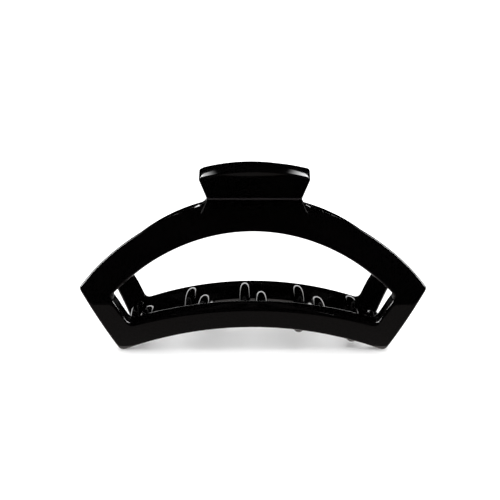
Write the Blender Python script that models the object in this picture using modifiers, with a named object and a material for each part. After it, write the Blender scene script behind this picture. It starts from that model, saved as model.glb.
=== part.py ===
"""Open-frame hair claw clip: two identical moulded jaws, a hinge pin and a torsion spring.

Millimetre values carry the factor MM, because Blender works in metres. The clip stands on the four
rounded corners of its rails, with +Z up. X runs along the hinge, and the front jaw is on the -Y side.
"""

import bmesh
import bpy
from math import acos, asin, atan2, cos, pi, radians, sin, sqrt, tan
from mathutils import Matrix, Vector

MM = 0.001
COLLECTION = "claw_clip"

# Jaw plate: its thickness, its edge rounding and how high its datum stands above the floor
PLATE = 5.0 * MM
PLATE_ROWS = 4
EDGE = 1.1 * MM
FLOOR_LIFT = 0.55 * MM

# Side profile of the jaw's outer surface: two arcs that meet at the widest height
HALF_DEPTH = 25.4 * MM
WIDEST_Z = 24.0 * MM
UPPER_RADIUS = 25.6 * MM
LOWER_RADIUS = 40.0 * MM

# Front outline of the jaw: an arch over straight sides, on a rail with an arched lower edge
ARCH_CENTRE_Z = -18.3 * MM
ARCH_RADIUS = 65.35 * MM
SIDE_FOOT = 42.5 * MM
SIDE_SLOPE = 0.513
RAIL_CENTRE_Z = -98.75 * MM
RAIL_RADIUS = 105.8 * MM
OUTER_CORNER = 1.6 * MM

# Window in the jaw
WINDOW_TOP_CENTRE_Z = -20.35 * MM
WINDOW_TOP_RADIUS = 57.4 * MM
WINDOW_SIDE_FOOT = 33.8 * MM
WINDOW_SIDE_SLOPE = 0.555
WINDOW_SILL_CENTRE_Z = -113.3 * MM
WINDOW_SILL_RADIUS = 127.0 * MM
WINDOW_CORNER = 2.0 * MM
SILL_RISE = 2.2 * MM
WINDOW_DRAFT = 0.988
SILL_Z = WINDOW_SILL_CENTRE_Z + WINDOW_SILL_RADIUS

# Handle: a flat plate that leans out from a straight crease on top of the arch
CREASE_Z = 46.5 * MM
HANDLE_LEAN = radians(45)
HANDLE_PLATE = 4.4 * MM
HANDLE_LENGTH = 12.4 * MM
HANDLE_ROOT = 3.6 * MM
HANDLE_TOP_RADIUS = 50.0 * MM
NECK_HALF_WIDTH = 14.8 * MM
NECK_FILLET = 2.3 * MM
NECK_TOP_Z = 48.0 * MM
HANDLE_HALF_WIDTH = 17.4 * MM
HANDLE_SHIFT = 0.5 * MM
HANDLE_CORNER = 1.3 * MM
HANDLE_EDGE = 0.7 * MM

# Teeth: five on each jaw, off centre by a share of the pitch so that those of the two jaws pass
TOOTH_PITCH = 18.22 * MM
TOOTH_OFFSET = 2.7 * MM
TEETH_EACH_SIDE = 2
TOOTH_ROOT_RADIUS = 2.0 * MM
TOOTH_TIP_RADIUS = 1.4 * MM
TOOTH_SINK = 3.0 * MM
TOOTH_TIP_DROP = 1.6 * MM
TOOTH_TIP_GAP = 2.0 * MM
TOOTH_FLOOR_GAP = 0.6 * MM
TOOTH_STEPS = 9

# Hinge: the pin, the knuckles it runs through and the spring round it
PIN_Z = 46.0 * MM
PIN_RADIUS = 1.1 * MM
PIN_HEAD_RADIUS = 1.9 * MM
PIN_HEAD = 0.7 * MM
PIN_TAIL = 0.5 * MM
BORE_RADIUS = 1.4 * MM
KNUCKLE_RADIUS = 3.8 * MM
KNUCKLE_WIDTH = 3.0 * MM
GAP = 0.3 * MM
INNER_KNUCKLE_X = 7.2 * MM
WIRE = 1.3 * MM
COIL_RADIUS = 2.8 * MM
COIL_TURNS = 6
COIL_PITCH = 1.6 * MM
COIL_STEPS = 14
SPRING_ARM = 15.5 * MM

OUTER_KNUCKLE_X = INNER_KNUCKLE_X + KNUCKLE_WIDTH + GAP
OPEN_ARM_X = COIL_TURNS * COIL_PITCH / 2


# ---------------------------------------------------------------- scene helpers
def clear_scene():
    for old in list(bpy.data.objects):
        bpy.data.objects.remove(old, do_unlink=True)


def new_collection(name):
    collection = bpy.data.collections.new(name)
    bpy.context.scene.collection.children.link(collection)
    return collection


def new_object(name, data, collection):
    obj = bpy.data.objects.new(name, data)
    collection.objects.link(obj)
    return obj


def material(name, colour, roughness, metallic):
    mat = bpy.data.materials.new(name)
    mat.use_nodes = True
    shader = mat.node_tree.nodes["Principled BSDF"]
    shader.inputs["Base Color"].default_value = (*colour, 1.0)
    shader.inputs["Roughness"].default_value = roughness
    shader.inputs["Metallic"].default_value = metallic
    return mat


def baked(obj):
    """The object with its modifiers applied, or a curve turned into a welded mesh, under the same name."""
    graph = bpy.context.evaluated_depsgraph_get()
    mesh = bpy.data.meshes.new_from_object(obj.evaluated_get(graph))
    bm = bmesh.new()
    bm.from_mesh(mesh)
    if obj.type == "CURVE":
        bmesh.ops.remove_doubles(bm, verts=bm.verts, dist=0.002 * MM)
    bmesh.ops.recalc_face_normals(bm, faces=bm.faces)
    bm.to_mesh(mesh)
    bm.free()
    name, place, home = obj.name, obj.matrix_world.copy(), obj.users_collection[0]
    bpy.data.objects.remove(obj, do_unlink=True)
    result = new_object(name, mesh, home)
    result.matrix_world = place
    return result


def boolean(body, operation, tools):
    """Joins the tools to the body, or cuts them from it, and removes them."""
    for tool in tools:
        change = body.modifiers.new(operation.lower(), "BOOLEAN")
        change.operation = operation
        change.object = tool
    bpy.context.view_layer.update()
    result = baked(body)
    for tool in tools:
        bpy.data.objects.remove(tool, do_unlink=True)
    return result


def rounded(obj, radius):
    """The object with its sharp edges rounded."""
    rounding = obj.modifiers.new("edges", "BEVEL")
    rounding.width = radius
    rounding.segments = 2
    rounding.use_clamp_overlap = False
    rounding.limit_method = "ANGLE"
    rounding.angle_limit = radians(45)
    return baked(obj)


def cut_square(obj, local_y):
    """The object without what lies below local_y on its own Y axis, closed with a flat end."""
    bm = bmesh.new()
    bm.from_mesh(obj.data)
    everything = bm.verts[:] + bm.edges[:] + bm.faces[:]
    plane = Vector((0, local_y, 0))
    bmesh.ops.bisect_plane(bm, geom=everything, plane_co=plane, plane_no=(0, -1, 0), clear_outer=True)
    bmesh.ops.holes_fill(bm, edges=[e for e in bm.edges if e.is_boundary])
    bmesh.ops.recalc_face_normals(bm, faces=bm.faces)
    bm.to_mesh(obj.data)
    bm.free()
    return obj


def smooth_round_faces(obj):
    obj.data.shade_smooth()
    obj.data.set_sharp_from_angle(angle=radians(35))


# ---------------------------------------------------------------- jaw geometry
def profile_y(z):
    """Distance of the jaw's outer surface from the clip's middle plane at height z."""
    radius = UPPER_RADIUS if z > WIDEST_Z else LOWER_RADIUS
    return HALF_DEPTH - radius + sqrt(radius**2 - (z - WIDEST_Z) ** 2)


def profile_lean(z):
    """Angle of the outer surface's normal below the horizontal at height z."""
    radius = UPPER_RADIUS if z > WIDEST_Z else LOWER_RADIUS
    return asin((WIDEST_Z - z) / radius)


def on_jaw(x, z):
    return Vector((x, -profile_y(z), z))


def arc_height(x, centre_z, radius):
    return centre_z + sqrt(radius**2 - x**2)


def arc_meets_side(centre_z, radius, foot, slope):
    """The upper crossing of an arc about (0, centre_z) and the side line x = foot + slope * z."""
    a = 1 + slope**2
    b = foot * slope - centre_z
    c = foot**2 + centre_z**2 - radius**2
    z = (-b + sqrt(b**2 - a * c)) / a
    return foot + slope * z, z


def corner_arc(corner, before, after, radius, steps):
    """Points of a rounding between two straight directions, both unit vectors along the path."""
    turn = before.angle_signed(after)
    cut = radius * tan(abs(turn) / 2)
    side = -1 if turn > 0 else 1
    centre = corner - before * cut + Vector((-before.y, before.x)) * radius * side
    start = corner - before * cut - centre
    return [centre + Matrix.Rotation(-turn * i / steps, 2) @ start for i in range(steps + 1)]


def unit(angle):
    return Vector((cos(angle), sin(angle)))


def half_outline(top, side, bottom, corner, counts):
    """Right half of a jaw outline, from the middle of its top to the middle of its bottom.

    top and bottom are (centre_z, radius) of the arcs, side is (foot, slope), and counts gives the
    steps on the top arc, a corner, the side and the bottom arc."""
    top_steps, corner_steps, side_steps, bottom_steps = counts
    shoulder = Vector(arc_meets_side(*top, *side))
    toe = Vector(arc_meets_side(*bottom, *side))
    down = -Vector((side[1], 1)).normalized()
    along_top = unit(-asin(shoulder.x / top[1]))
    along_bottom = unit(pi - asin(toe.x / bottom[1]))
    upper = corner_arc(shoulder, along_top, down, corner, corner_steps)
    lower = corner_arc(toe, down, along_bottom, corner, corner_steps)
    reach = asin(upper[0].x / top[1])
    points = []
    for i in range(top_steps):
        x = top[1] * sin(reach * i / top_steps)
        points.append(Vector((x, arc_height(x, *top))))
    points += upper
    points += [upper[-1].lerp(lower[0], i / side_steps) for i in range(1, side_steps)]
    points += lower
    for i in range(1, bottom_steps + 1):
        x = lower[-1].x * (1 - i / bottom_steps)
        points.append(Vector((x, arc_height(x, *bottom))))
    return points


def neck_height(x, z):
    """Raises the arch to the neck's top between the handle's edges, with a hollow fillet outside."""
    from_edge = abs(x - HANDLE_SHIFT) - NECK_HALF_WIDTH
    if from_edge <= 0.01 * MM:
        return NECK_TOP_Z
    beyond = from_edge / NECK_FILLET
    return z + (NECK_FILLET * (1 - sqrt(beyond * (2 - beyond))) if beyond < 1 else 0)


def outline_loops():
    """The jaw's outer outline and its window, as closed loops of as many points each."""
    counts = (16, 3, 5, 10)
    rail = (RAIL_CENTRE_Z, RAIL_RADIUS)
    sill = (WINDOW_SILL_CENTRE_Z, WINDOW_SILL_RADIUS)
    arch = (ARCH_CENTRE_Z, ARCH_RADIUS)
    head = (WINDOW_TOP_CENTRE_Z, WINDOW_TOP_RADIUS)
    outer = half_outline(arch, (SIDE_FOOT, SIDE_SLOPE), rail, OUTER_CORNER, counts)
    window = half_outline(head, (WINDOW_SIDE_FOOT, WINDOW_SIDE_SLOPE), sill, WINDOW_CORNER, counts)
    loops = [half + [Vector((-p.x, p.y)) for p in half[-2:0:-1]] for half in (outer, window)]
    last = counts[0] - 1
    for i in list(range(last + 1)) + list(range(-last, 0)):
        loops[0][i].y = neck_height(*loops[0][i])
    return loops


def inner_y(z):
    """Distance of the jaw's inner surface from the middle plane at height z."""
    radius = UPPER_RADIUS if z > WIDEST_Z else LOWER_RADIUS
    return HALF_DEPTH - radius + sqrt((radius - PLATE) ** 2 - (z - WIDEST_Z) ** 2)


def inner_point(point, share):
    """The inner face's point behind one of the outer face, where share is 0 at the outline, 1 at the window.

    The outline is cut square to the plate. The window's head is cut level, its sill rises inwards, and
    its sides draw in a little."""
    square = point.y + PLATE * sin(profile_lean(point.y))
    rise = min(max((WIDEST_Z - point.y) / (WIDEST_Z - SILL_Z), 0), 1)
    z = square + (point.y + SILL_RISE * rise - square) * share
    return Vector((point.x * (1 - (1 - WINDOW_DRAFT) * share), -inner_y(z), z))


def jaw_plate(collection):
    """The arched frame, lofted round from its outer face over the window's walls and back outside."""
    outer, window = outline_loops()
    rings = []
    for row in range(PLATE_ROWS + 1):
        points = [a.lerp(b, row / PLATE_ROWS) for a, b in zip(outer, window)]
        rings.append([on_jaw(p.x, p.y) for p in points])
    for row in range(PLATE_ROWS, -1, -1):
        share = row / PLATE_ROWS
        points = [a.lerp(b, share) for a, b in zip(outer, window)]
        rings.append([inner_point(p, share) for p in points])
    bm = bmesh.new()
    loft = [[bm.verts.new(place) for place in ring] for ring in rings]
    for near, far in zip(loft, loft[1:] + loft[:1]):
        for i in range(len(near)):
            j = (i + 1) % len(near)
            bm.faces.new((near[i], near[j], far[j], far[i]))
    bmesh.ops.recalc_face_normals(bm, faces=bm.faces)
    mesh = bpy.data.meshes.new("jaw_plate")
    bm.to_mesh(mesh)
    bm.free()
    return rounded(new_object("jaw_plate", mesh, collection), EDGE)


def flat_outline(name, points, thickness, collection):
    """A closed flat outline of (x, y) points in the object's own XY plane, extruded both ways."""
    curve = bpy.data.curves.new(name, "CURVE")
    curve.dimensions = "2D"
    curve.fill_mode = "BOTH"
    curve.extrude = thickness / 2
    spline = curve.splines.new("POLY")
    spline.points.add(len(points) - 1)
    for place, point in zip(spline.points, points):
        place.co = (point[0], point[1], 0, 1)
    spline.use_cyclic_u = True
    return new_object(name, curve, collection)


def handle_frame():
    """Local X along the clip, local Y up the handle's outer face, local Z out of that face."""
    up = Vector((0, -sin(HANDLE_LEAN), cos(HANDLE_LEAN)))
    across = Vector((1, 0, 0))
    frame = Matrix((across, up, across.cross(up))).transposed().to_4x4()
    frame.translation = on_jaw(HANDLE_SHIFT, CREASE_Z)
    return frame


def handle_plate(collection):
    """The leaning finger plate, wider at its top, which is an arc with rounded ends."""
    drop = HANDLE_TOP_RADIUS - sqrt(HANDLE_TOP_RADIUS**2 - HANDLE_HALF_WIDTH**2)
    corner = Vector((HANDLE_HALF_WIDTH, HANDLE_LENGTH - drop))
    foot = Vector((NECK_HALF_WIDTH, 0))
    rising = (corner - foot).normalized()
    along_top = unit(pi - asin(HANDLE_HALF_WIDTH / HANDLE_TOP_RADIUS))
    right = [Vector((NECK_HALF_WIDTH, -3 * HANDLE_ROOT)), foot]
    right += corner_arc(corner, rising, along_top, HANDLE_CORNER, 3)
    steps = 5
    edge_x = right[-1].x
    for i in range(1, steps):
        x = edge_x * (1 - i / steps)
        right.append(Vector((x, HANDLE_LENGTH - HANDLE_TOP_RADIUS + sqrt(HANDLE_TOP_RADIUS**2 - x**2))))
    top = Vector((0, HANDLE_LENGTH))
    left = [Vector((-p.x, p.y)) for p in reversed(right)]
    plate = flat_outline("handle_plate", right + [top] + left, HANDLE_PLATE, collection)
    plate.matrix_world = handle_frame() @ Matrix.Translation((0, 0, -HANDLE_PLATE / 2))
    return cut_square(rounded(baked(plate), HANDLE_EDGE), -HANDLE_ROOT)


def knuckle(index, middle_x, collection):
    """An ear from the handle's root to a round boss about the pin."""
    root_upper = Vector((-9.6 * MM, 49.2 * MM - PIN_Z))
    root_lower = Vector((-9.4 * MM, 43.6 * MM - PIN_Z))
    points = [root_lower, root_upper]
    start, end = (
        atan2(root.y, root.x) % (2 * pi) - side * acos(KNUCKLE_RADIUS / root.length)
        for root, side in ((root_upper, 1), (root_lower, -1))
    )
    steps = 12
    for i in range(steps + 1):
        angle = start + (end - 2 * pi - start) * i / steps
        points.append(unit(angle) * KNUCKLE_RADIUS)
    ear = flat_outline(f"knuckle_{index}", points, KNUCKLE_WIDTH, collection)
    across = Matrix(((0, 0, 1), (1, 0, 0), (0, 1, 0))).to_4x4()
    ear.matrix_world = Matrix.Translation((middle_x, 0, PIN_Z)) @ across
    return baked(ear)


def tooth(index, collection):
    """A claw tooth: it leaves the rail's inner face, rises a little, then curves down past the middle."""
    x = TOOTH_OFFSET + index * TOOTH_PITCH
    sill = arc_height(x, WINDOW_SILL_CENTRE_Z, WINDOW_SILL_RADIUS)
    radial = Vector((x, 0, sill - RAIL_CENTRE_Z)).normalized()
    root_y = -profile_y(sill) + TOOTH_SINK
    tip_x = x * 0.93
    rail_z = arc_height(tip_x, RAIL_CENTRE_Z, RAIL_RADIUS)
    tip_y = profile_y(rail_z) - PLATE * cos(profile_lean(rail_z)) - TOOTH_TIP_GAP
    lowest = max(rail_z - TOOTH_TIP_DROP, TOOTH_FLOOR_GAP)
    fall = (sill - lowest - TOOTH_TIP_RADIUS) / radial.z
    # Bezier handles: share of the way across, and height above the sill
    shape = ((0, -0.9 * MM), (0.45, 2.7 * MM), (0.72, -0.2 * fall), (1, -fall))
    steps = [i / TOOTH_STEPS for i in range(TOOTH_STEPS + 1)]
    path = []
    for t in steps:
        weights = ((1 - t) ** 3, 3 * t * (1 - t) ** 2, 3 * t * t * (1 - t), t**3)
        across = sum(w * p[0] for w, p in zip(weights, shape))
        height = sum(w * p[1] for w, p in zip(weights, shape))
        place = Vector((x, root_y + (tip_y - root_y) * across, sill)) + radial * height
        radius = TOOTH_ROOT_RADIUS + (TOOTH_TIP_RADIUS - TOOTH_ROOT_RADIUS) * t
        path.append((place, radius))
    heading = (path[-1][0] - path[-2][0]).normalized()
    for reach, share in ((0.55, 0.8), (0.85, 0.45)):
        path.append((path[TOOTH_STEPS][0] + heading * TOOTH_TIP_RADIUS * reach, TOOTH_TIP_RADIUS * share))
    return baked(tube(f"tooth_{index}", path, 1.0, 2, collection))


def tube(name, path, depth, resolution, collection):
    """A round bar along a path of (place, radius) pairs, with closed ends."""
    curve = bpy.data.curves.new(name, "CURVE")
    curve.dimensions = "3D"
    curve.bevel_depth = depth
    curve.bevel_resolution = resolution
    curve.use_fill_caps = True
    curve.twist_mode = "MINIMUM"
    spline = curve.splines.new("POLY")
    spline.points.add(len(path) - 1)
    for point, (place, radius) in zip(spline.points, path):
        point.co = (*place, 1)
        point.radius = radius
    return new_object(name, curve, collection)


def front_jaw(collection, cutters):
    """One moulding: arched frame, handle, two knuckles and five teeth, bored for the pin."""
    body = jaw_plate(collection)
    body.name = "front_jaw"
    tools = [tooth(i, collection) for i in range(-TEETH_EACH_SIDE, TEETH_EACH_SIDE + 1)]
    tools.append(handle_plate(collection))
    for i, left_edge in enumerate((-OUTER_KNUCKLE_X - KNUCKLE_WIDTH, INNER_KNUCKLE_X)):
        tools.append(knuckle(i, left_edge + KNUCKLE_WIDTH / 2, collection))
    body = boolean(body, "UNION", tools)
    bpy.ops.mesh.primitive_cylinder_add(
        vertices=20,
        radius=BORE_RADIUS,
        depth=4 * NECK_HALF_WIDTH,
        location=(0, 0, PIN_Z),
        rotation=(0, pi / 2, 0),
    )
    bore = bpy.context.object
    bore.name = "pin_bore"
    bore.hide_render = True
    bore.display_type = "WIRE"
    for home in list(bore.users_collection):
        home.objects.unlink(bore)
    cutters.objects.link(bore)
    body = boolean(body, "DIFFERENCE", [bore])
    triangles = body.modifiers.new("triangles", "TRIANGULATE")
    triangles.ngon_method = "CLIP"
    body = baked(body)
    body.data.transform(Matrix.Translation((0, 0, -PIN_Z)))
    body.location = (0, 0, PIN_Z + FLOOR_LIFT)
    smooth_round_faces(body)
    return body


def rear_jaw(front, collection):
    """The same moulding, turned half round the vertical axis."""
    rear = new_object("rear_jaw", front.data, collection)
    rear.location = front.location
    rear.rotation_euler = (0, 0, pi)
    return rear


# ---------------------------------------------------------------- hinge hardware
def hinge_pin(collection):
    """A turned steel pin: a low head at one end, and a riveted end at the other."""
    outer_face = OUTER_KNUCKLE_X + KNUCKLE_WIDTH + GAP
    profile = [
        (0, outer_face + PIN_HEAD),
        (PIN_HEAD_RADIUS * 0.6, outer_face + PIN_HEAD),
        (PIN_HEAD_RADIUS, outer_face + PIN_HEAD * 0.5),
        (PIN_HEAD_RADIUS, outer_face),
        (PIN_RADIUS, outer_face),
        (PIN_RADIUS, -outer_face),
        (PIN_RADIUS * 1.4, -outer_face),
        (PIN_RADIUS * 1.25, -outer_face - PIN_TAIL),
        (0, -outer_face - PIN_TAIL),
    ]
    bm = bmesh.new()
    ring = [bm.verts.new((radius, 0, height)) for radius, height in profile]
    for a, b in zip(ring[:-1], ring[1:]):
        bm.edges.new((a, b))
    mesh = bpy.data.meshes.new("hinge_pin")
    bm.to_mesh(mesh)
    bm.free()
    pin = new_object("hinge_pin", mesh, collection)
    turn = pin.modifiers.new("turn", "SCREW")
    turn.axis = "Z"
    turn.steps = turn.render_steps = 20
    turn.use_merge_vertices = True
    turn.merge_threshold = 0.01 * MM
    pin = baked(pin)
    pin.location = (0, 0, PIN_Z + FLOOR_LIFT)
    pin.rotation_euler = (0, pi / 2, 0)
    smooth_round_faces(pin)
    return pin


def torsion_spring(collection):
    """A coil round the pin, with one straight arm inside each handle, which it pushes outwards."""
    arm_angle = pi / 2 - HANDLE_LEAN
    first = -pi / 2 - arm_angle
    last = first + 2 * pi * COIL_TURNS + 2 * arm_angle
    steps = round((last - first) / (2 * pi) * COIL_STEPS)
    length = COIL_TURNS * COIL_PITCH
    coil = []
    for i in range(steps + 1):
        angle = first + (last - first) * i / steps
        x = -length / 2 + length * i / steps
        coil.append(Vector((x, COIL_RADIUS * cos(angle), COIL_RADIUS * sin(angle))))
    front_arm = Vector((0, -cos(arm_angle), sin(arm_angle))) * SPRING_ARM
    rear_arm = Vector((0, cos(arm_angle), sin(arm_angle))) * SPRING_ARM
    route = [coil[0] + front_arm] + coil + [coil[-1] + rear_arm]
    spring = baked(tube("torsion_spring", [(place, 1.0) for place in route], WIRE / 2, 1, collection))
    spring.location = (0, 0, PIN_Z + FLOOR_LIFT)
    smooth_round_faces(spring)
    return spring


def main():
    clear_scene()
    parts = new_collection(COLLECTION)
    cutters = new_collection("cutters")
    plastic = material("black_gloss_plastic", (0.004, 0.004, 0.004), 0.12, 0.0)
    steel = material("spring_steel", (0.55, 0.55, 0.56), 0.28, 1.0)
    front = front_jaw(parts, cutters)
    rear = rear_jaw(front, parts)
    pin = hinge_pin(parts)
    spring = torsion_spring(parts)
    front.data.materials.clear()
    front.data.materials.append(plastic)
    for metal in (pin, spring):
        metal.data.materials.clear()
        metal.data.materials.append(steel)
    bpy.context.view_layer.update()


main()
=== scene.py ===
"""Looks of the open-frame hair claw clip: glossy black jaws, steel pin and spring, on a pale studio floor."""

from math import acos, asin, atan2, cos, pi, radians, sin, sqrt, tan

import bmesh
import bpy
from mathutils import Matrix, Vector


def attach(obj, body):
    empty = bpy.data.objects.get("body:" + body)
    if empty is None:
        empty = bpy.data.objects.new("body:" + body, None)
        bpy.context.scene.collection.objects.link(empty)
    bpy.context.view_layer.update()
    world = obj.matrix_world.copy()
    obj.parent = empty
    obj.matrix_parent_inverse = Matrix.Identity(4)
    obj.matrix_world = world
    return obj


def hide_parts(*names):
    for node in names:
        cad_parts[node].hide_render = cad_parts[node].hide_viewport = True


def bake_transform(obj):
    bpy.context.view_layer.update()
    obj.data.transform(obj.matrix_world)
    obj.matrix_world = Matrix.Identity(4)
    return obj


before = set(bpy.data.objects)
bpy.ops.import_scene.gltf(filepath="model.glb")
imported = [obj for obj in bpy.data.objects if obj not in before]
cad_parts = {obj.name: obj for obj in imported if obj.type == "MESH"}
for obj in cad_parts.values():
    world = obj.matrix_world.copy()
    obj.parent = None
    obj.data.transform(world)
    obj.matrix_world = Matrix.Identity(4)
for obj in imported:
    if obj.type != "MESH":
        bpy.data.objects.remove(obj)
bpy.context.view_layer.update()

MM = 0.001
SCENE = bpy.context.scene

# ---------------------------------------------------------------- dimensions of the jaw moulding
PLATE = 5.0 * MM
# Edge roundings of the plate: window in front, window behind, outline behind, outline in front
EDGES = (0.9 * MM, 2.4 * MM, 1.1 * MM, 1.0 * MM)
LIFT = 0.55 * MM
HALF_DEPTH = 25.4 * MM
WIDEST_Z = 24.0 * MM
UPPER_RADIUS = 25.6 * MM
LOWER_RADIUS = 40.0 * MM
# Arcs are (height of the centre, radius), and sides are (foot, slope), in the front view
ARCH = (-18.3 * MM, 65.35 * MM)
SIDE = (42.5 * MM, 0.513)
RAIL = (-98.75 * MM, 105.8 * MM)
OUTER_CORNER = 1.6 * MM
HEAD = (-20.35 * MM, 57.4 * MM)
WINDOW_SIDE = (33.8 * MM, 0.555)
SILL = (-113.3 * MM, 127.0 * MM)
WINDOW_CORNER = 2.2 * MM
SILL_RISE = 2.9 * MM
WINDOW_DRAFT = 0.988
CREASE_Z = 46.5 * MM
LEAN = radians(45)
HANDLE_PLATE = 4.4 * MM
HANDLE_LENGTH = 12.4 * MM
HANDLE_ROOT = 3.6 * MM
HANDLE_TOP_RADIUS = 50.0 * MM
HANDLE_HALF = 17.4 * MM
HANDLE_SHIFT = 0.5 * MM
HANDLE_CORNER = 1.3 * MM
HANDLE_EDGE = 0.4 * MM
NECK_HALF = 15.1 * MM
NECK_FILLET = 2.3 * MM
NECK_TOP_Z = 48.0 * MM
CREASE_FILLET = 0.5 * MM
TOOTH_PITCH = 18.22 * MM
TOOTH_OFFSET = 2.7 * MM
TOOTH_ROOT = 2.0 * MM
TOOTH_TIP = 1.8 * MM
TOOTH_CAP = 0.6
TOOTH_SINK = 3.0 * MM
TOOTH_TIP_GAP = 2.0 * MM
TOOTH_DROP = 0.5 * MM
LONG_TOOTH_DROP = 1.9 * MM
TOOTH_FLOOR_GAP = 0.6 * MM
PIN_Z = 46.0 * MM
PIN_RADIUS = 1.1 * MM
PIN_HEAD_RADIUS = 1.9 * MM
PIN_TAIL_RADIUS = PIN_RADIUS * 1.4
PIN_HEAD_HEIGHT = 0.7 * MM
PIN_TAIL_HEIGHT = 0.5 * MM
BORE_RADIUS = 1.4 * MM
KNUCKLE_RADIUS = 3.8 * MM
KNUCKLE_WIDTH = 3.0 * MM
KNUCKLE_EDGE = 0.35 * MM
GAP = 0.3 * MM
INNER_KNUCKLE_X = 7.2 * MM
OUTER_KNUCKLE_X = INNER_KNUCKLE_X + KNUCKLE_WIDTH + GAP
WIRE = 1.3 * MM
COIL_RADIUS = 2.8 * MM
COIL_TURNS = 6
COIL_PITCH = 1.6 * MM
SPRING_ARM = 15.5 * MM
WIRE_EDGE = 0.12 * MM

# ---------------------------------------------------------------- camera
CAMERA_PLACE = (-0.0009, -0.2685, 0.06018)
CAMERA_TILT = 0.1136
CAMERA_LENS = 58.6


# ---------------------------------------------------------------- materials
def node_material(name):
    mat = bpy.data.materials.new(name)
    mat.use_nodes = True
    nodes, links = mat.node_tree.nodes, mat.node_tree.links
    return mat, nodes, links, nodes["Principled BSDF"]


def noise(nodes, links, coords, scale, detail):
    texture = nodes.new("ShaderNodeTexNoise")
    texture.inputs["Scale"].default_value = scale
    texture.inputs["Detail"].default_value = detail
    links.new(coords, texture.inputs["Vector"])
    return texture.outputs["Fac"]


def ramp(nodes, links, source, low, high):
    scale = nodes.new("ShaderNodeMapRange")
    scale.inputs["To Min"].default_value = low
    scale.inputs["To Max"].default_value = high
    links.new(source, scale.inputs["Value"])
    return scale.outputs["Result"]


def colour_mix(nodes, links, factor, low, high):
    """Mixes two colours, each an RGB triple or another node's output."""
    mix = nodes.new("ShaderNodeMix")
    mix.data_type = "RGBA"
    for socket, colour in ((mix.inputs[6], low), (mix.inputs[7], high)):
        if isinstance(colour, tuple):
            socket.default_value = (*colour, 1)
        else:
            links.new(colour, socket)
    links.new(factor, mix.inputs[0])
    return mix.outputs[2]


def add_bump(nodes, links, shader, height, strength, distance):
    bump = nodes.new("ShaderNodeBump")
    bump.inputs["Strength"].default_value = strength
    bump.inputs["Distance"].default_value = distance
    links.new(height, bump.inputs["Height"])
    links.new(bump.outputs["Normal"], shader.inputs["Normal"])


def painted_crease_highlight_mask(nodes, links, place):
    """One along the crease under each handle, where a lighter colour is painted in as a highlight line, and
    zero elsewhere.
    """
    parts = nodes.new("ShaderNodeSeparateXYZ")
    links.new(place, parts.inputs[0])
    depth = nodes.new("ShaderNodeMath")
    depth.operation = "ABSOLUTE"
    links.new(parts.outputs["Y"], depth.inputs[0])
    section_place = nodes.new("ShaderNodeCombineXYZ")
    links.new(depth.outputs[0], section_place.inputs["Y"])
    links.new(parts.outputs["Z"], section_place.inputs["Z"])
    away = nodes.new("ShaderNodeVectorMath")
    away.operation = "DISTANCE"
    away.inputs[1].default_value = (0, profile(CREASE_Z, 0) + 0.25 * MM, CREASE_Z + LIFT + 0.05 * MM)
    links.new(section_place.outputs[0], away.inputs[0])
    near = nodes.new("ShaderNodeMapRange")
    near.interpolation_type = "SMOOTHSTEP"
    near.inputs["From Min"].default_value = 0.22 * MM
    near.inputs["From Max"].default_value = 0.38 * MM
    near.inputs["To Min"].default_value = 1.0
    near.inputs["To Max"].default_value = 0.0
    links.new(away.outputs["Value"], near.inputs["Value"])
    return near.outputs["Result"]


def gloss_plastic():
    """Polished black moulding: faint flow marks in the gloss, the slight ripple of a moulded skin, and a
    painted highlight line in the crease under each handle.
    """
    mat, nodes, links, shader = node_material("gloss_black_plastic")
    shader.inputs["IOR"].default_value = 1.47
    place = nodes.new("ShaderNodeTexCoord").outputs["Object"]
    blotch = noise(nodes, links, place, 90.0, 3.0)
    black = colour_mix(nodes, links, blotch, (0.00035, 0.00030, 0.00034), (0.00070, 0.00060, 0.00066))
    # Painted highlight: a lighter grey is mixed into the black along the crease under each handle, standing
    # in for the light the crease catches.
    crease = painted_crease_highlight_mask(nodes, links, place)
    crease_painted_highlight = colour_mix(nodes, links, crease, black, (0.012, 0.0108, 0.0113))
    links.new(crease_painted_highlight, shader.inputs["Base Color"])
    flow = noise(nodes, links, place, 240.0, 4.0)
    links.new(ramp(nodes, links, flow, 0.035, 0.085), shader.inputs["Roughness"])
    add_bump(nodes, links, shader, noise(nodes, links, place, 160.0, 2.0), 0.012, 0.0004)
    return mat


def drawn_steel(name, colour, along):
    """Bright steel with fine draw lines; along is the stretch of the lines on each axis."""
    mat, nodes, links, shader = node_material(name)
    shader.inputs["Metallic"].default_value = 1.0
    place = nodes.new("ShaderNodeTexCoord").outputs["Object"]
    stretch = nodes.new("ShaderNodeMapping")
    stretch.inputs["Scale"].default_value = along
    links.new(place, stretch.inputs["Vector"])
    lines = noise(nodes, links, stretch.outputs["Vector"], 2500.0, 3.0)
    darker = tuple(c * 0.8 for c in colour)
    links.new(colour_mix(nodes, links, lines, darker, colour), shader.inputs["Base Color"])
    links.new(ramp(nodes, links, lines, 0.18, 0.34), shader.inputs["Roughness"])
    add_bump(nodes, links, shader, lines, 0.08, 0.00005)
    return mat


# ---------------------------------------------------------------- mesh helpers
def add_object(name, data):
    obj = bpy.data.objects.new(name, data)
    SCENE.collection.objects.link(obj)
    return obj


def mesh_object(name, bm):
    bmesh.ops.recalc_face_normals(bm, faces=bm.faces)
    mesh = bpy.data.meshes.new(name)
    bm.to_mesh(mesh)
    bm.free()
    return add_object(name, mesh)


def applied(obj):
    """The object with its modifiers applied."""
    bpy.context.view_layer.update()
    graph = bpy.context.evaluated_depsgraph_get()
    mesh = bpy.data.meshes.new_from_object(obj.evaluated_get(graph))
    old = obj.data
    obj.modifiers.clear()
    obj.data = mesh
    if old.users == 0 and isinstance(old, bpy.types.Mesh):
        bpy.data.meshes.remove(old)
    return obj


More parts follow.
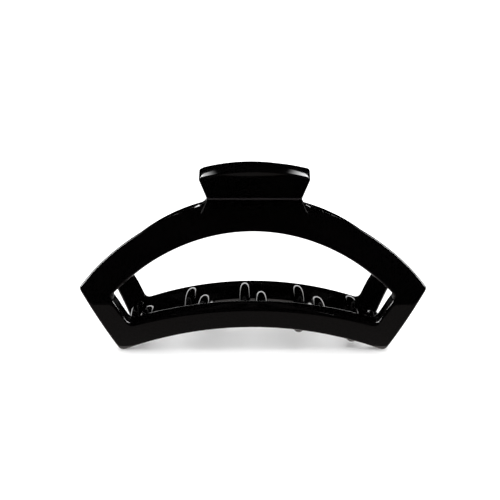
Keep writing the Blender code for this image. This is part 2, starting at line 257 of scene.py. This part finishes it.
def boolean(body, operation, tools):
    for tool in tools:
        change = body.modifiers.new(operation.lower(), "BOOLEAN")
        change.operation = operation
        change.object = tool
    applied(body)
    for tool in tools:
        bpy.data.objects.remove(tool, do_unlink=True)
    return body


def rounded(obj, width, segments, angle):
    bevel = obj.modifiers.new("edges", "BEVEL")
    bevel.width = width
    bevel.segments = segments
    bevel.use_clamp_overlap = False
    bevel.limit_method = "ANGLE"
    bevel.angle_limit = radians(angle)
    return applied(obj)


def loft(name, rings, closed, capped):
    """A skin over rings of as many points each, closed into a loop or capped at its two ends."""
    bm = bmesh.new()
    rows = [[bm.verts.new(place) for place in ring] for ring in rings]
    pairs = list(zip(rows, rows[1:] + rows[:1])) if closed else list(zip(rows[:-1], rows[1:]))
    for near, far in pairs:
        for i in range(len(near)):
            j = (i + 1) % len(near)
            bm.faces.new((near[i], near[j], far[j], far[i]))
    if capped:
        bm.faces.new(rows[0])
        bm.faces.new(rows[-1])
    return mesh_object(name, bm)


def slab(name, outline, half_thickness):
    """A flat closed outline in the XY plane, extruded both ways along Z."""
    rings = [[Vector((x, y, z)) for x, y in outline] for z in (-half_thickness, half_thickness)]
    return loft(name, rings, closed=False, capped=True)


# ---------------------------------------------------------------- jaw geometry
def profile(z, depth):
    """Distance from the middle plane, at height z, of the surface that lies depth under the outer one."""
    radius = UPPER_RADIUS if z > WIDEST_Z else LOWER_RADIUS
    return HALF_DEPTH - radius + sqrt((radius - depth) ** 2 - (z - WIDEST_Z) ** 2)


def lean_sine(z):
    """Sine of the outer normal's elevation at height z."""
    return (z - WIDEST_Z) / (UPPER_RADIUS if z > WIDEST_Z else LOWER_RADIUS)


def arc_height(x, arc):
    return arc[0] + sqrt(arc[1] ** 2 - x**2)


def arc_meets_side(arc, side):
    """The upper crossing of an arc, as (centre height, radius), and the line x = foot + slope * z."""
    foot, slope = side
    a = 1 + slope**2
    b = foot * slope - arc[0]
    c = foot**2 + arc[0] ** 2 - arc[1] ** 2
    z = (-b + sqrt(b**2 - a * c)) / a
    return Vector((foot + slope * z, z))


def unit(angle):
    return Vector((cos(angle), sin(angle)))


def full_turn(count):
    return [2 * pi * i / count for i in range(count)]


def corner_arc(corner, before, after, radius, steps):
    """Points of a rounding between two straight directions, both unit vectors along the path."""
    turn = before.angle_signed(after)
    cut = radius * tan(abs(turn) / 2)
    side = -1 if turn > 0 else 1
    centre = corner - before * cut + Vector((-before.y, before.x)) * radius * side
    start = corner - before * cut - centre
    return [centre + Matrix.Rotation(-turn * i / steps, 2) @ start for i in range(steps + 1)]


def half_outline(top, side, bottom, corner, counts):
    """Right half of a jaw outline, from the middle of its top to the middle of its bottom."""
    top_steps, corner_steps, side_steps, bottom_steps = counts
    shoulder, toe = arc_meets_side(top, side), arc_meets_side(bottom, side)
    down = -Vector((side[1], 1)).normalized()
    upper = corner_arc(shoulder, unit(-asin(shoulder.x / top[1])), down, corner, corner_steps)
    lower = corner_arc(toe, down, unit(pi - asin(toe.x / bottom[1])), corner, corner_steps)
    reach = asin(upper[0].x / top[1])
    points = [Vector((top[1] * sin(reach * i / top_steps), 0)) for i in range(top_steps)]
    for point in points:
        point.y = arc_height(point.x, top)
    points += upper
    points += [upper[-1].lerp(lower[0], i / side_steps) for i in range(1, side_steps)]
    points += lower
    for i in range(1, bottom_steps + 1):
        x = lower[-1].x * (1 - i / bottom_steps)
        points.append(Vector((x, arc_height(x, bottom))))
    return points


def neck_height(x, z):
    """Raises the arch to the neck's top between the handle's edges, with a hollow fillet outside."""
    from_edge = abs(x - HANDLE_SHIFT) - NECK_HALF
    if from_edge <= 0:
        return NECK_TOP_Z
    beyond = from_edge / NECK_FILLET
    return z + (NECK_FILLET * (1 - sqrt(beyond * (2 - beyond))) if beyond < 1 else 0)


def outline_loops():
    """The outer outline and the window, as closed loops of as many points each."""
    counts = (64, 8, 14, 36)
    outer = half_outline(ARCH, SIDE, RAIL, OUTER_CORNER, counts)
    window = half_outline(HEAD, WINDOW_SIDE, SILL, WINDOW_CORNER, counts)
    loops = [half + [Vector((-p.x, p.y)) for p in half[-2:0:-1]] for half in (outer, window)]
    last = counts[0] - 1
    for i in list(range(last + 1)) + list(range(-last, 0)):
        loops[0][i].y = neck_height(*loops[0][i])
    return loops


def outer_point(p):
    return Vector((p.x, -profile(p.y, 0), p.y))


def inner_point(p, share):
    """The inner face's point behind an outer one: the outline is cut square, the window's head is level."""
    square = p.y - PLATE * lean_sine(p.y)
    rise = min(max((WIDEST_Z - p.y) / (WIDEST_Z - SILL[0] - SILL[1]), 0), 1)
    z = square + (p.y + SILL_RISE * rise - square) * share
    return Vector((p.x * (1 - (1 - WINDOW_DRAFT) * share), -profile(z, PLATE), z))


def section(a, b):
    """One closed cross-section of the frame, from outline point a to window point b and back inside."""
    steps = 14
    front = [outer_point(a.lerp(b, i / steps)) for i in range(steps + 1)]
    back = [inner_point(a.lerp(b, i / steps), i / steps) for i in range(steps, -1, -1)]
    sides = (front, [front[-1], back[0]], back, [back[-1], front[0]])
    points = []
    for i, run in enumerate(sides):
        after = sides[(i + 1) % 4]
        points += trimmed(run, EDGES[i - 1], EDGES[i])
        corner = run[-1]
        arrive = (corner - run[-2]).normalized()
        leave = (after[1] - corner).normalized()
        points += bend(corner, arrive, leave, EDGES[i])
    return points


def trimmed(run, near_edge, far_edge):
    """Points of a run, without the length that the roundings at its two ends take."""
    lengths = [0.0]
    for a, b in zip(run[:-1], run[1:]):
        lengths.append(lengths[-1] + (b - a).length)
    steps = 10 if len(run) > 2 else 3
    points = []
    for i in range(steps + 1):
        at = near_edge + (lengths[-1] - near_edge - far_edge) * i / steps
        k = max(j for j in range(len(run) - 1) if lengths[j] <= at + 1e-12)
        points.append(run[k].lerp(run[k + 1], (at - lengths[k]) / (lengths[k + 1] - lengths[k])))
    return points


def bend(corner, arrive, leave, edge):
    """Inner points of a rounding of a corner, as a cubic curve close to a circle."""
    start, end = corner - arrive * edge, corner + leave * edge
    handle = edge * 0.5523
    first, second = start + arrive * handle, end - leave * handle
    points = []
    for i in range(1, 7):
        t = i / 7
        u = 1 - t
        points.append(start * u**3 + first * 3 * t * u * u + second * 3 * t * t * u + end * t**3)
    return points


def jaw_plate():
    outer, window = outline_loops()
    return loft("jaw_plate", [section(a, b) for a, b in zip(outer, window)], closed=True, capped=False)


def handle_frame():
    """Local X along the clip, local Y up the handle's outer face, local Z out of that face."""
    up = Vector((0, -sin(LEAN), cos(LEAN)))
    across = Vector((1, 0, 0))
    place = Matrix((across, up, across.cross(up))).transposed().to_4x4()
    place.translation = outer_point(Vector((HANDLE_SHIFT, CREASE_Z)))
    return place


def handle_plate():
    drop = HANDLE_TOP_RADIUS - sqrt(HANDLE_TOP_RADIUS**2 - HANDLE_HALF**2)
    corner = Vector((HANDLE_HALF, HANDLE_LENGTH - drop))
    foot = Vector((NECK_HALF, 0))
    rising = (corner - foot).normalized()
    along_top = unit(pi - asin(HANDLE_HALF / HANDLE_TOP_RADIUS))
    right = [Vector((NECK_HALF, -3 * HANDLE_ROOT)), foot]
    right += corner_arc(corner, rising, along_top, HANDLE_CORNER, 7)
    start = right[-1].x
    steps = 20
    for i in range(1, steps):
        x = start * (1 - i / steps)
        right.append(Vector((x, HANDLE_LENGTH - HANDLE_TOP_RADIUS + sqrt(HANDLE_TOP_RADIUS**2 - x**2))))
    left = [Vector((-p.x, p.y)) for p in reversed(right)]
    plate = slab("handle_plate", right + [Vector((0, HANDLE_LENGTH))] + left, HANDLE_PLATE / 2)
    rounded(plate, HANDLE_EDGE, 5, 45)
    bm = bmesh.new()
    bm.from_mesh(plate.data)
    everything = bm.verts[:] + bm.edges[:] + bm.faces[:]
    low = Vector((0, -HANDLE_ROOT, 0))
    bmesh.ops.bisect_plane(bm, geom=everything, plane_co=low, plane_no=(0, -1, 0), clear_outer=True)
    bmesh.ops.holes_fill(bm, edges=[e for e in bm.edges if e.is_boundary])
    bmesh.ops.recalc_face_normals(bm, faces=bm.faces)
    bm.transform(handle_frame() @ Matrix.Translation((0, 0, -HANDLE_PLATE / 2)))
    bm.to_mesh(plate.data)
    bm.free()
    return plate


def crease_fillet():
    """The hollow rounding that fills the crease between the neck and the handle."""
    slope = acos(lean_sine(CREASE_Z))
    down = Vector((-cos(slope), -sin(slope)))
    up = Vector((-sin(LEAN), cos(LEAN)))
    foot = Vector((-profile(CREASE_Z, 0), CREASE_Z))
    half_opening = down.angle(up) / 2
    outwards = (down + up).normalized()
    sink = 0.02 * MM
    centre = foot + outwards * (CREASE_FILLET - sink) / sin(half_opening)
    reach = pi / 2 - half_opening
    steps = 8
    outline = [foot + Vector((0.45, 0)) * MM]
    for i in range(steps + 1):
        turn = Matrix.Rotation(reach * (1 - 2 * i / steps), 2)
        outline.append(centre - (turn @ outwards) * CREASE_FILLET)
    half = NECK_HALF - 0.25 * MM
    rings = []
    for x in (HANDLE_SHIFT - half, HANDLE_SHIFT + half):
        rings.append([Vector((x, p.x, p.y)) for p in outline])
    return loft("crease_fillet", rings, closed=False, capped=True)


def knuckle(index, middle_x):
    roots = (Vector((-9.6 * MM, 49.2 * MM - PIN_Z)), Vector((-9.4 * MM, 43.6 * MM - PIN_Z)))
    start, end = (
        atan2(root.y, root.x) % (2 * pi) - side * acos(KNUCKLE_RADIUS / root.length)
        for root, side in zip(roots, (1, -1))
    )
    outline = [roots[1], roots[0]]
    steps = 36
    for i in range(steps + 1):
        outline.append(unit(start + (end - 2 * pi - start) * i / steps) * KNUCKLE_RADIUS)
    ear = slab(f"knuckle_{index}", outline, KNUCKLE_WIDTH / 2)
    across = Matrix(((0, 0, 1), (1, 0, 0), (0, 1, 0))).to_4x4()
    ear.data.transform(Matrix.Translation((middle_x, 0, PIN_Z)) @ across)
    return rounded(ear, KNUCKLE_EDGE, 3, 60)


def tooth(index):
    """A claw tooth, which rises a little and curves down past the middle. The two on -X are longer."""
    x = TOOTH_OFFSET + index * TOOTH_PITCH
    sill = arc_height(x, SILL)
    radial = Vector((x, 0, sill - RAIL[0])).normalized()
    root_y = -profile(sill, 0) + TOOTH_SINK
    rail_z = arc_height(x * 0.93, RAIL)
    tip_y = profile(rail_z, 0) - PLATE * sqrt(1 - lean_sine(rail_z) ** 2) - TOOTH_TIP_GAP
    drop = TOOTH_DROP if index >= 0 else LONG_TOOTH_DROP
    lowest = max(rail_z - drop, TOOTH_FLOOR_GAP)
    fall = (sill - lowest - TOOTH_TIP) / radial.z
    shape = ((0, -0.9 * MM), (0.45, 2.7 * MM), (0.72, -0.2 * fall), (1, -fall))
    steps = 28
    path = []
    for i in range(steps + 1):
        t = i / steps
        weights = ((1 - t) ** 3, 3 * t * (1 - t) ** 2, 3 * t * t * (1 - t), t**3)
        across = sum(w * p[0] for w, p in zip(weights, shape))
        height = sum(w * p[1] for w, p in zip(weights, shape))
        path.append(Vector((x, root_y + (tip_y - root_y) * across, sill)) + radial * height)
    radii = [TOOTH_ROOT + (TOOTH_TIP - TOOTH_ROOT) * i / steps for i in range(steps + 1)]
    heading = (path[-1] - path[-2]).normalized()
    tip = path[-1]
    for i in range(1, 7):
        angle = pi / 2 * i / 6.3
        path.append(tip + heading * TOOTH_TIP * TOOTH_CAP * sin(angle))
        radii.append(TOOTH_TIP * cos(angle))
    wide = radial.cross(Vector((0, 1, 0))).normalized()
    rings = []
    for i, (place, radius) in enumerate(zip(path, radii)):
        ahead = path[min(i + 1, len(path) - 1)] - path[max(i - 1, 0)]
        thick = wide.cross(ahead).normalized()
        rings.append([place + (wide * cos(a) + thick * sin(a)) * radius for a in full_turn(24)])
    return loft(f"tooth_{index}", rings, closed=False, capped=True)


def jaw_mesh():
    """One moulding, with its smooth faces and fillets, in the place of the front jaw."""
    body = jaw_plate()
    tools = [tooth(i) for i in range(-2, 3)]
    tools.append(handle_plate())
    for i, left_edge in enumerate((-OUTER_KNUCKLE_X - KNUCKLE_WIDTH, INNER_KNUCKLE_X)):
        tools.append(knuckle(i, left_edge + KNUCKLE_WIDTH / 2))
    tools.append(crease_fillet())
    boolean(body, "UNION", tools)
    circle = [unit(a) * BORE_RADIUS for a in full_turn(48)]
    bore = slab("bore", circle, 30 * MM)
    bore.data.transform(Matrix.Translation((0, 0, PIN_Z)) @ Matrix.Rotation(pi / 2, 4, "Y"))
    boolean(body, "DIFFERENCE", [bore])
    mesh = body.data
    mesh.transform(Matrix.Translation((0, 0, LIFT)))
    mesh.shade_smooth()
    mesh.set_sharp_from_angle(angle=radians(38))
    bpy.data.objects.remove(body, do_unlink=True)
    return mesh


# ---------------------------------------------------------------- hinge hardware
def turned_pin():
    """The pin, turned about the hinge axis: domed head on +X, riveted end on -X."""
    face = OUTER_KNUCKLE_X + KNUCKLE_WIDTH + GAP
    outline = [(face, PIN_RADIUS), (face, PIN_HEAD_RADIUS - 0.1 * MM)]
    for i in range(1, 9):
        angle = pi / 2 * i / 8
        outline.append((face + PIN_HEAD_HEIGHT * sin(angle), PIN_HEAD_RADIUS * cos(angle * 0.98)))
    tail = [(-face, PIN_TAIL_RADIUS)]
    for i in range(1, 9):
        angle = pi / 2 * i / 8
        tail.append((-face - PIN_TAIL_HEIGHT * sin(angle), PIN_TAIL_RADIUS * cos(angle * 0.98)))
    profile_points = tail[::-1] + [(-face, PIN_RADIUS)]
    profile_points += [(-face + 2 * face * i / 6, PIN_RADIUS) for i in range(1, 6)] + outline
    axis = Vector((0, 0, PIN_Z + LIFT))
    rings = []
    for x, radius in profile_points:
        rings.append([axis + Vector((x, radius * cos(a), radius * sin(a))) for a in full_turn(48)])
    pin = loft("hinge_pin_turned", rings, closed=False, capped=True)
    pin.data.shade_smooth()
    pin.data.set_sharp_from_angle(angle=radians(50))
    return pin


def wound_spring():
    """Six turns of wire about the pin, with an arm up inside each handle."""
    arm_angle = pi / 2 - LEAN
    first = -pi / 2 - arm_angle
    last = first + 2 * pi * COIL_TURNS + 2 * arm_angle
    steps = round((last - first) / (2 * pi) * 40)
    length = COIL_TURNS * COIL_PITCH
    axis = Vector((0, 0, PIN_Z + LIFT))
    coil = []
    for i in range(steps + 1):
        angle = first + (last - first) * i / steps
        x = -length / 2 + length * i / steps
        coil.append(axis + Vector((x, COIL_RADIUS * cos(angle), COIL_RADIUS * sin(angle))))
    front = Vector((0, -cos(arm_angle), sin(arm_angle)))
    rear = Vector((0, cos(arm_angle), sin(arm_angle)))
    arm_steps = 14
    route = [coil[0] + front * SPRING_ARM * i / arm_steps for i in range(arm_steps, 0, -1)]
    route += coil
    route += [coil[-1] + rear * SPRING_ARM * i / arm_steps for i in range(1, arm_steps + 1)]
    rings = []
    side = Vector((1, 0, 0))
    for i, place in enumerate(route):
        ahead = (route[min(i + 1, len(route) - 1)] - route[max(i - 1, 0)]).normalized()
        out = ahead.cross(side).normalized()
        across = out.cross(ahead).normalized()
        rings.append([place + (out * cos(a) + across * sin(a)) * WIRE / 2 for a in full_turn(16)])
    spring = loft("torsion_spring_wound", rings, closed=False, capped=True)
    rounded(spring, WIRE_EDGE, 2, 60)
    spring.data.shade_smooth()
    spring.data.set_sharp_from_angle(angle=radians(50))
    return spring


# ---------------------------------------------------------------- studio
def emitter(name, colour, strength, fade):
    """A glowing card face; fade is the share of its height over which it dims to nothing at the top."""
    mat = bpy.data.materials.new(name)
    mat.use_nodes = True
    nodes, links = mat.node_tree.nodes, mat.node_tree.links
    nodes.clear()
    glow = nodes.new("ShaderNodeEmission")
    glow.inputs["Color"].default_value = (*colour, 1)
    glow.inputs["Strength"].default_value = strength
    if fade:
        across = nodes.new("ShaderNodeSeparateXYZ")
        links.new(nodes.new("ShaderNodeTexCoord").outputs["Generated"], across.inputs[0])
        dim = nodes.new("ShaderNodeMapRange")
        dim.interpolation_type = "SMOOTHSTEP"
        dim.inputs["From Min"].default_value = 1.0
        dim.inputs["From Max"].default_value = 1.0 - fade
        dim.inputs["To Max"].default_value = strength
        links.new(across.outputs["Z"], dim.inputs["Value"])
        links.new(dim.outputs["Result"], glow.inputs["Strength"])
    links.new(glow.outputs[0], nodes.new("ShaderNodeOutputMaterial").inputs[0])
    return mat


def card(name, corner, along, across, colour, strength, fade=0.0):
    """A flat studio card that only shows in reflections, spanned from a corner by two edges."""
    bm = bmesh.new()
    start, first, second = Vector(corner), Vector(along), Vector(across)
    places = (start, start + first, start + first + second, start + second)
    bm.faces.new([bm.verts.new(place) for place in places])
    mesh = bpy.data.meshes.new(name)
    bm.to_mesh(mesh)
    bm.free()
    obj = add_object(name, mesh)
    mesh.materials.append(emitter(name, colour, strength, fade))
    only_reflected(obj)
    obj.visible_shadow = False
    return obj


def only_reflected(obj):
    obj.visible_camera = False
    obj.visible_diffuse = False
    obj.visible_transmission = False
    obj.visible_volume_scatter = False


def studio_floor():
    bm = bmesh.new()
    bmesh.ops.create_circle(bm, cap_ends=True, radius=5.0, segments=96)
    floor = mesh_object("studio_floor", bm)
    floor.location = (0, 0, -0.00002)
    mat, nodes, links, shader = node_material("pale_floor")
    shader.inputs["Roughness"].default_value = 0.9
    shader.inputs["Specular IOR Level"].default_value = 0.0
    place = nodes.new("ShaderNodeTexCoord").outputs["Object"]
    mottle = noise(nodes, links, place, 40.0, 2.0)
    pale = colour_mix(nodes, links, mottle, (0.93, 0.93, 0.93), (0.95, 0.95, 0.95))
    links.new(pale, shader.inputs["Base Color"])
    floor.data.materials.append(mat)
    floor.visible_glossy = False


def studio():
    SCENE.view_settings.view_transform = "Standard"
    SCENE.view_settings.look = "None"
    SCENE.view_settings.exposure = 0
    SCENE.view_settings.gamma = 1
    world = bpy.data.worlds.new("white_tent")
    world.use_nodes = True
    sky = world.node_tree.nodes["Background"]
    sky.inputs["Color"].default_value = (1, 1, 1, 1)
    sky.inputs["Strength"].default_value = 2.0
    SCENE.world = world
    world.cycles_visibility.glossy = False
    studio_floor()
    # Cards that the gloss reflects: floor in front, between and behind the jaws, and the wall behind
    card("front_floor", (-0.15, -0.046, -0.0005), (0.30, 0, 0), (0, 0.028, 0), (1.0, 0.93, 0.90), 0.15)
    card("inner_floor", (-0.15, -0.018, -0.0005), (0.30, 0, 0), (0, 0.038, 0), (1.0, 0.95, 0.92), 1.1)
    card("rear_floor", (-1.5, 0.02, -0.0005), (3.0, 0, 0), (0, 1.6, 0), (1, 1, 1), 1.0)
    card("far_wall", (-1.5, 1.62, 0.0), (3.0, 0, 0), (0, 0, 0.20), (1, 1, 1), 1.0)
    # A long soft box over each side, dimmer at the end above the clip, and a low light outside it
    for word, side, start in (("left", -1, 0.33), ("right", 1, 0.29)):
        slope = (side * 0.58, 0, -0.60)
        card(f"soft_box_{word}", (side * start, 0.02, 0.86), slope, (0, -0.16, 0), (1, 1, 1), 24.0, 0.3)
        low_end = (side * 0.90, 0.08, 0.20)
        card(f"side_strip_{word}", low_end, (0, -0.36, 0), (0, 0, 0.26), (1, 1, 1), 20.0)


def camera():
    lens = bpy.data.cameras.new("camera")
    lens.sensor_width = 36
    lens.lens = CAMERA_LENS
    lens.clip_start = 0.01
    lens.clip_end = 20
    eye = add_object("camera", lens)
    tilt = Matrix.Rotation(pi / 2 - CAMERA_TILT, 4, "X")
    eye.matrix_world = Matrix.Translation(CAMERA_PLACE) @ tilt
    SCENE.camera = eye


# ---------------------------------------------------------------- assembly
def main():
    plastic = gloss_plastic()
    steel = drawn_steel("pin_steel", (0.62, 0.62, 0.63), (0.02, 1, 1))
    wire = drawn_steel("spring_wire", (0.55, 0.55, 0.56), (1, 0.3, 0.3))
    mesh = jaw_mesh()
    mesh.materials.clear()
    mesh.materials.append(plastic)
    front = add_object("front_jaw_moulding", mesh)
    rear_mesh = mesh.copy()
    rear_mesh.transform(Matrix.Rotation(pi, 4, "Z"))
    rear = add_object("rear_jaw_moulding", rear_mesh)
    pin = turned_pin()
    pin.data.materials.append(steel)
    spring = wound_spring()
    spring.data.materials.append(wire)
    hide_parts("front_jaw")
    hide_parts("rear_jaw")
    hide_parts("hinge_pin")
    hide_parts("torsion_spring")
    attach(front, "front")
    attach(rear, "rear")
    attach(pin, "front")
    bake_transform(spring)
    studio()
    camera()


main()
